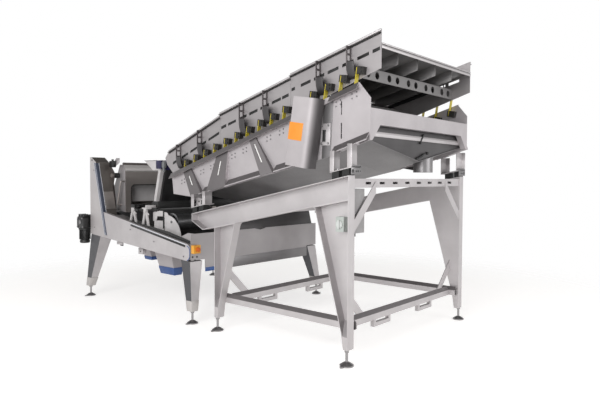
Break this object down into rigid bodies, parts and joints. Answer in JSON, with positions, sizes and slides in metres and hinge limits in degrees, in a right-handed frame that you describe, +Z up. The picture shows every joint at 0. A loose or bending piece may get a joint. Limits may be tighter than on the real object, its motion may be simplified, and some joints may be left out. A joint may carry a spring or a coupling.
{
  "type": "laser sorter with vibrating infeed shaker",
  "caption": "Inclined vibrating infeed shaker on leaf springs over a stand, feeding an inclined belt laser sorter with a hood, scanner gantry and levelling feet.",
  "frame": {"origin": "on the floor, under the middle of the whole machine's outline", "axes": "+X along the machine towards the shaker's high feed end, -Y the operator's side with the switch and the emergency stop, +Z up"},
  "size_m": [3.82, 1.89, 2.323],
  "materials": {
    "stainless_frame": "satin",
    "stainless_sheet": "bead blasted",
    "stainless_pan": "brushed",
    "roller_steel": "turned",
    "foot_steel": "polished",
    "isolator_rubber": "matte",
    "spring_fibreglass": "satin",
    "clamp_black": "matte",
    "belt_black": "matte",
    "drive_black": "semi gloss",
    "scanner_black": "semi gloss",
    "trim_blue": "satin",
    "cap_navy": "satin",
    "gantry_white": "satin",
    "case_grey": "satin",
    "plate_orange": "gloss",
    "stop_yellow": "satin",
    "stop_orange": "gloss",
    "switch_pale": "satin",
    "switch_black": "satin",
    "motor_grey": "satin"
  },
  "bodies": {
    "frame": {"air_manifold": "drive_black", "base_cross_tubes": "stainless_frame", "base_end_channel": "stainless_sheet", "base_sides": "stainless_sheet", "belt_skirts": "gantry_white", "control_box": "case_grey", "control_box_lid": "case_grey", "conveyor_belt": "belt_black", "corner_braces": "stainless_frame", "cover_plate": "plate_orange", "drip_pan": "stainless_sheet", "drip_tray": "stainless_sheet", "drive_covers": "stainless_sheet", "edge_trims": "trim_blue", "emergency_stop_box": "stop_yellow", "end_towers": "stainless_sheet", "fork_pockets": "stainless_frame", "gantry_beam": "drive_black", "gantry_supports": "gantry_white", "gear_motor": "drive_black", "head_plates": "stainless_sheet", "infeed_hopper": "stainless_sheet", "isolator_brackets": "stainless_frame", "laser_scanner": "scanner_black", "lower_frame": "stainless_frame", "lower_spring_clamps": "clamp_black", "main_switch_box": "switch_pale", "rubber_isolators": "isolator_rubber", "scanner_cap": "cap_navy", "slider_bed": "stainless_sheet", "sorter_beams": "stainless_sheet", "sorter_legs": "stainless_frame", "stand_cross_rails": "stainless_frame", "stand_legs": "stainless_frame", "stand_side_rails": "stainless_frame", "vibrator_motors": "motor_grey"},
    "pan": {"pan_walls": "stainless_pan", "pan_decks": "stainless_pan", "pan_stringers": "stainless_pan", "pan_cross_plates": "stainless_pan", "pan_brackets": "stainless_pan", "upper_spring_clamps": "clamp_black", "leaf_springs": "spring_fibreglass"},
    "upper_shaft": {"upper_unbalance_shaft": "roller_steel"},
    "lower_shaft": {"lower_unbalance_shaft": "roller_steel"},
    "drive_roller": {"drive_roller": "roller_steel"},
    "head_roller": {"head_roller": "roller_steel"},
    "tail_roller": {"tail_roller": "roller_steel"},
    "drum": {"background_drum": "case_grey"},
    "hood": {"hood": "stainless_sheet"},
    "stop_button": {"emergency_stop_button": "stop_orange"},
    "switch_knob": {"main_switch_knob": "switch_black"},
    "stand_foot_near_high": {"stand_foot_near_high": "foot_steel"},
    "stand_foot_near_low": {"stand_foot_near_low": "foot_steel"},
    "stand_foot_far_high": {"stand_foot_far_high": "foot_steel"},
    "stand_foot_far_low": {"stand_foot_far_low": "foot_steel"},
    "sorter_foot_near_high": {"sorter_foot_near_high": "foot_steel"},
    "sorter_foot_near_low": {"sorter_foot_near_low": "foot_steel"},
    "sorter_foot_far_high": {"sorter_foot_far_high": "foot_steel"},
    "sorter_foot_far_low": {"sorter_foot_far_low": "foot_steel"}
  },
  "joints": [
    {"name": "pan_throw", "type": "slide", "parent": "frame", "child": "pan", "axis": [-0.9863, 0, 0.165], "range_m": [-0.008, 0.008], "stiffness_N_per_m": 1000000, "deforming": ["leaf_springs"]},
    {"name": "upper_shaft_spin", "type": "hinge", "parent": "frame", "child": "upper_shaft", "pos_m": [1.3549, 0, 1.69418], "axis": [0, 1, 0], "continuous": true},
    {"name": "lower_shaft_spin", "type": "hinge", "parent": "frame", "child": "lower_shaft", "pos_m": [1.32189, 0, 1.49692], "axis": [0, 1, 0], "continuous": true},
    {"name": "drive_roller_spin", "type": "hinge", "parent": "frame", "child": "drive_roller", "pos_m": [-1.835, 0, 0.81], "axis": [0, 1, 0], "continuous": true},
    {"name": "head_roller_spin", "type": "hinge", "parent": "frame", "child": "head_roller", "pos_m": [-1.665, 0, 0.902], "axis": [0, 1, 0], "continuous": true},
    {"name": "tail_roller_spin", "type": "hinge", "parent": "frame", "child": "tail_roller", "pos_m": [-0.045, 0, 0.64], "axis": [0, 1, 0], "continuous": true},
    {"name": "drum_spin", "type": "hinge", "parent": "frame", "child": "drum", "pos_m": [-0.485, 0, 0.87144], "axis": [0, 1, 0], "continuous": true},
    {"name": "hood_open", "type": "hinge", "parent": "frame", "child": "hood", "pos_m": [-1.53373, 0, 1.324], "axis": [0, -1, 0], "range_deg": [0, 68]},
    {"name": "stop_press", "type": "slide", "parent": "frame", "child": "stop_button", "axis": [-1, 0, 0], "range_m": [0, 0.005], "stiffness_N_per_m": 800},
    {"name": "switch_turn", "type": "hinge", "parent": "frame", "child": "switch_knob", "pos_m": [1.69, -0.875, 0.982], "axis": [0, -1, 0], "range_deg": [0, 90]},
    {"name": "stand_foot_near_high_level", "type": "slide", "parent": "frame", "child": "stand_foot_near_high", "axis": [0, 0, 1], "range_m": [-0.04, 0]},
    {"name": "stand_foot_near_low_level", "type": "slide", "parent": "frame", "child": "stand_foot_near_low", "axis": [0, 0, 1], "range_m": [-0.04, 0]},
    {"name": "stand_foot_far_high_level", "type": "slide", "parent": "frame", "child": "stand_foot_far_high", "axis": [0, 0, 1], "range_m": [-0.04, 0]},
    {"name": "stand_foot_far_low_level", "type": "slide", "parent": "frame", "child": "stand_foot_far_low", "axis": [0, 0, 1], "range_m": [-0.04, 0]},
    {"name": "sorter_foot_near_high_level", "type": "slide", "parent": "frame", "child": "sorter_foot_near_high", "axis": [0, 0, 1], "range_m": [-0.04, 0]},
    {"name": "sorter_foot_near_low_level", "type": "slide", "parent": "frame", "child": "sorter_foot_near_low", "axis": [0, 0, 1], "range_m": [-0.04, 0]},
    {"name": "sorter_foot_far_high_level", "type": "slide", "parent": "frame", "child": "sorter_foot_far_high", "axis": [0, 0, 1], "range_m": [-0.04, 0]},
    {"name": "sorter_foot_far_low_level", "type": "slide", "parent": "frame", "child": "sorter_foot_far_low", "axis": [0, 0, 1], "range_m": [-0.04, 0]}
  ],
  "couplings": [
    {"joint": "lower_shaft_spin", "follows": "upper_shaft_spin", "ratio": -1},
    {"joint": "head_roller_spin", "follows": "drive_roller_spin", "ratio": 1.375},
    {"joint": "tail_roller_spin", "follows": "drive_roller_spin", "ratio": 1.1}
  ]
}
